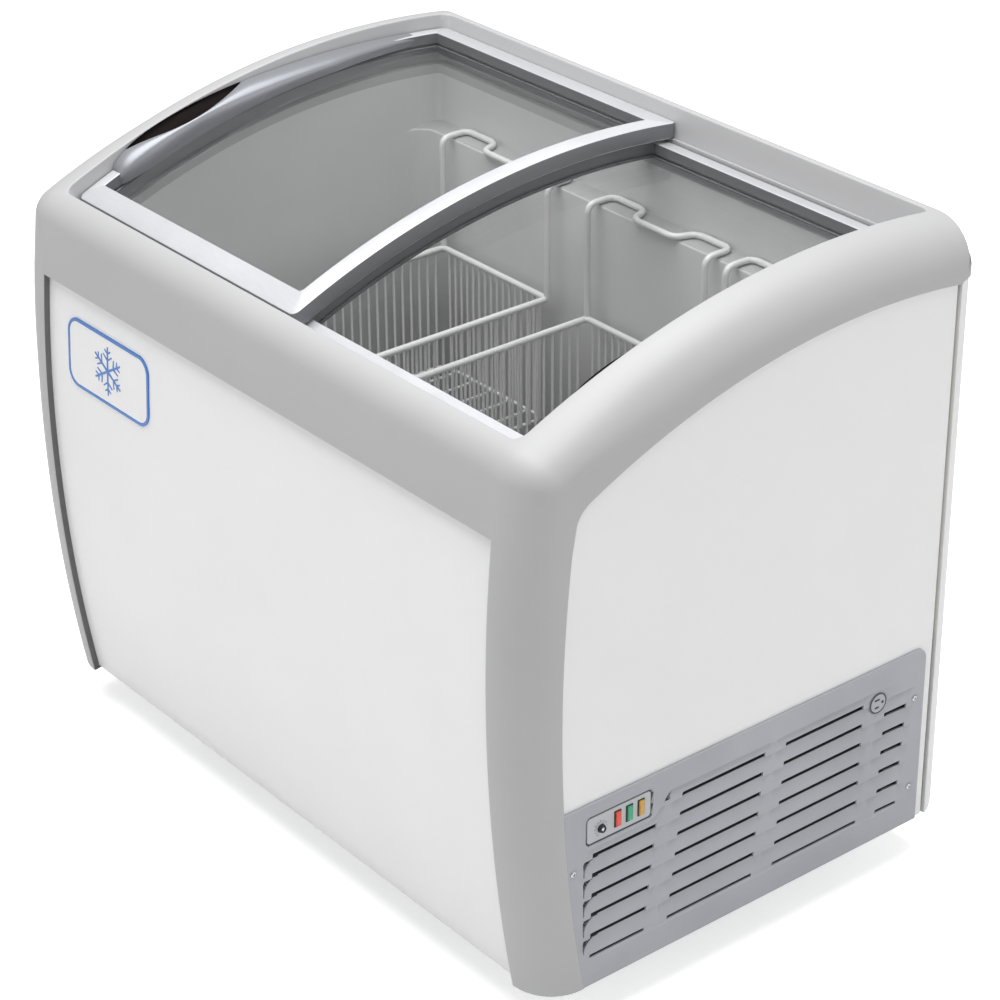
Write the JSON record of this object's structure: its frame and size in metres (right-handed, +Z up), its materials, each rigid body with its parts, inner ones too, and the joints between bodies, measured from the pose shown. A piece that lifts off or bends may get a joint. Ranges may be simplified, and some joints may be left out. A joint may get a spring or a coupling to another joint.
{
  "type": "chest freezer",
  "caption": "Display chest freezer with a bowed white front, grey rounded rim, curved sliding glass lids, hanging wire baskets, a louvred machine bay and casters.",
  "frame": {"origin": "centre of the footprint, on the floor under the casters", "axes": "+Z up; the bowed front faces -Y; the louvred machine side faces +X; the lids slide along X"},
  "size_m": [1.0255, 0.6732, 0.8659],
  "materials": {
    "rim_grey": "satin",
    "white_paint": "satin",
    "liner_grey": "satin",
    "grille_grey": "satin",
    "foam_cream": "matte",
    "zinc_steel": "satin",
    "brushed_aluminium": "satin",
    "clear_glass": "gloss",
    "grip_metal": "satin",
    "black_plastic": "satin",
    "black_enamel": "gloss",
    "copper": "satin",
    "coil_black": "satin",
    "white_wire": "satin",
    "caster_rubber": "matte",
    "badge_blue": "gloss",
    "lens_red": "gloss",
    "lens_green": "gloss",
    "lens_amber": "gloss"
  },
  "bodies": {
    "body": {"top_frame": "rim_grey", "corner_post_left": "rim_grey", "corner_post_right": "rim_grey", "rear_post_left": "white_paint", "rear_post_right": "white_paint", "front_panel": "white_paint", "side_panel_left": "white_paint", "side_panel_right": "white_paint", "back_panel": "white_paint", "base_pan": "zinc_steel", "machine_bulkhead": "zinc_steel", "foam_insulation": "foam_cream", "inner_liner": "liner_grey", "evaporator_coil": "copper", "compressor": "black_enamel", "condenser_coil": "coil_black", "fan_shroud": "zinc_steel", "fan_motor": "black_enamel", "filter_drier": "copper", "discharge_line": "copper", "suction_line": "copper", "power_cord": "black_plastic", "grille_panel": "grille_grey", "control_bezel": "grille_grey", "indicator_red": "lens_red", "indicator_green": "lens_green", "indicator_amber": "lens_amber", "grille_screw_front": "zinc_steel", "grille_screw_upper": "zinc_steel", "grille_screw_lower": "zinc_steel", "service_socket": "black_plastic", "thermostat_body": "black_plastic", "badge": "badge_blue", "caster_front_left_plate": "zinc_steel", "caster_rear_left_plate": "zinc_steel", "caster_front_right_plate": "zinc_steel", "caster_rear_right_plate": "zinc_steel"},
    "left_lid": {"left_lid_frame": "brushed_aluminium", "left_lid_glass": "clear_glass", "left_lid_handle": "grip_metal"},
    "right_lid": {"right_lid_frame": "brushed_aluminium", "right_lid_glass": "clear_glass", "right_lid_handle": "black_plastic"},
    "basket_left": {"basket_left": "white_wire"},
    "basket_middle": {"basket_middle": "white_wire"},
    "basket_right": {"basket_right": "white_wire"},
    "thermostat_dial": {"thermostat_dial": "grille_grey"},
    "fan_blade": {"fan_blade": "zinc_steel"},
    "drain_plug": {"drain_plug": "black_plastic"},
    "caster_front_left_fork": {"caster_front_left_fork": "zinc_steel"},
    "caster_front_left_wheel": {"caster_front_left_wheel": "caster_rubber"},
    "caster_rear_left_fork": {"caster_rear_left_fork": "zinc_steel"},
    "caster_rear_left_wheel": {"caster_rear_left_wheel": "caster_rubber"},
    "caster_front_right_fork": {"caster_front_right_fork": "zinc_steel"},
    "caster_front_right_wheel": {"caster_front_right_wheel": "caster_rubber"},
    "caster_rear_right_fork": {"caster_rear_right_fork": "zinc_steel"},
    "caster_rear_right_wheel": {"caster_rear_right_wheel": "caster_rubber"}
  },
  "joints": [
    {"name": "left_lid_slide", "type": "slide", "parent": "body", "child": "left_lid", "axis": [1, 0, 0], "range_m": [0, 0.42]},
    {"name": "right_lid_slide", "type": "slide", "parent": "body", "child": "right_lid", "axis": [-1, 0, 0], "range_m": [0, 0.42]},
    {"name": "basket_left_lift", "type": "slide", "parent": "body", "child": "basket_left", "axis": [0, 0, 1], "range_m": [0, 0.04]},
    {"name": "basket_middle_lift", "type": "slide", "parent": "body", "child": "basket_middle", "axis": [0, 0, 1], "range_m": [0, 0.04]},
    {"name": "basket_right_lift", "type": "slide", "parent": "body", "child": "basket_right", "axis": [0, 0, 1], "range_m": [0, 0.04]},
    {"name": "thermostat_dial_turn", "type": "hinge", "parent": "body", "child": "thermostat_dial", "pos_m": [0.51, -0.2192, 0.274], "axis": [1, 0, 0], "range_deg": [-150, 150]},
    {"name": "fan_spin", "type": "hinge", "parent": "body", "child": "fan_blade", "pos_m": [0.398, -0.09, 0.17], "axis": [1, 0, 0], "continuous": true},
    {"name": "drain_plug_lift", "type": "slide", "parent": "body", "child": "drain_plug", "axis": [0, 0, 1], "range_m": [0, 0.03]},
    {"name": "caster_front_left_swivel", "type": "hinge", "parent": "body", "child": "caster_front_left_fork", "pos_m": [-0.36, -0.17, 0.0502], "axis": [0, 0, 1], "continuous": true},
    {"name": "caster_front_left_roll", "type": "hinge", "parent": "caster_front_left_fork", "child": "caster_front_left_wheel", "pos_m": [-0.36, -0.154, 0.02], "axis": [1, 0, 0], "continuous": true},
    {"name": "caster_rear_left_swivel", "type": "hinge", "parent": "body", "child": "caster_rear_left_fork", "pos_m": [-0.36, 0.215, 0.0502], "axis": [0, 0, 1], "continuous": true},
    {"name": "caster_rear_left_roll", "type": "hinge", "parent": "caster_rear_left_fork", "child": "caster_rear_left_wheel", "pos_m": [-0.36, 0.231, 0.02], "axis": [1, 0, 0], "continuous": true},
    {"name": "caster_front_right_swivel", "type": "hinge", "parent": "body", "child": "caster_front_right_fork", "pos_m": [0.36, -0.17, 0.0502], "axis": [0, 0, 1], "continuous": true},
    {"name": "caster_front_right_roll", "type": "hinge", "parent": "caster_front_right_fork", "child": "caster_front_right_wheel", "pos_m": [0.36, -0.154, 0.02], "axis": [1, 0, 0], "continuous": true},
    {"name": "caster_rear_right_swivel", "type": "hinge", "parent": "body", "child": "caster_rear_right_fork", "pos_m": [0.36, 0.215, 0.0502], "axis": [0, 0, 1], "continuous": true},
    {"name": "caster_rear_right_roll", "type": "hinge", "parent": "caster_rear_right_fork", "child": "caster_rear_right_wheel", "pos_m": [0.36, 0.231, 0.02], "axis": [1, 0, 0], "continuous": true}
  ]
}
